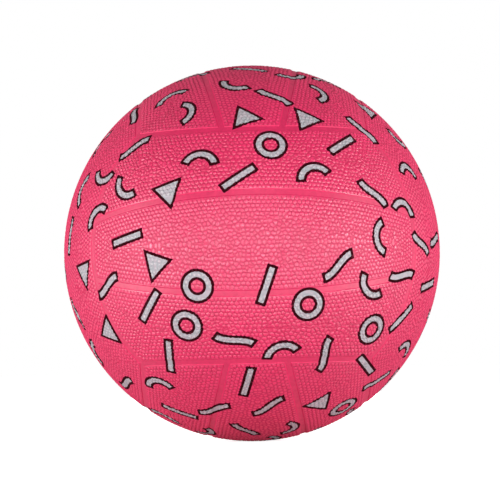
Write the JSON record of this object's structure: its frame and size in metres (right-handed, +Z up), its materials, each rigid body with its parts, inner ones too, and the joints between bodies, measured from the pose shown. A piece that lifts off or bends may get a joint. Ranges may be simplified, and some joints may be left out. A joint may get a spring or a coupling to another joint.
{
  "type": "volleyball",
  "caption": "Pimpled moulded-rubber ball with a volleyball strip cover over a ribbed lining, thread winding, bladder and self-closing valve.",
  "frame": {"origin": "centre of the ball", "axes": "+Z up as pictured, -Y is the side that faces the camera, +Y is the axis of the valve, pointing out of the ball"},
  "size_m": [0.21, 0.2097, 0.21],
  "materials": {
    "cover_rubber": "satin moulded rubber with fine pimples",
    "winding_thread": "latex-coated nylon thread",
    "bladder_butyl": "matt butyl",
    "valve_rubber": "smooth black rubber"
  },
  "bodies": {
    "root": {"front_lower_panel": "cover_rubber", "front_middle_panel": "cover_rubber", "front_upper_panel": "cover_rubber", "back_lower_panel": "cover_rubber", "back_middle_panel": "cover_rubber", "back_upper_panel": "cover_rubber", "right_rear_panel": "cover_rubber", "right_middle_panel": "cover_rubber", "right_front_panel": "cover_rubber", "left_front_panel": "cover_rubber", "left_middle_panel": "cover_rubber", "left_rear_panel": "cover_rubber", "top_right_panel": "cover_rubber", "top_middle_panel": "cover_rubber", "top_left_panel": "cover_rubber", "bottom_left_panel": "cover_rubber", "bottom_middle_panel": "cover_rubber", "bottom_right_panel": "cover_rubber", "ribbed_lining": "cover_rubber", "nylon_winding": "winding_thread", "bladder": "bladder_butyl", "valve_housing": "valve_rubber", "valve_plug": "valve_rubber"}
  },
  "joints": []
}
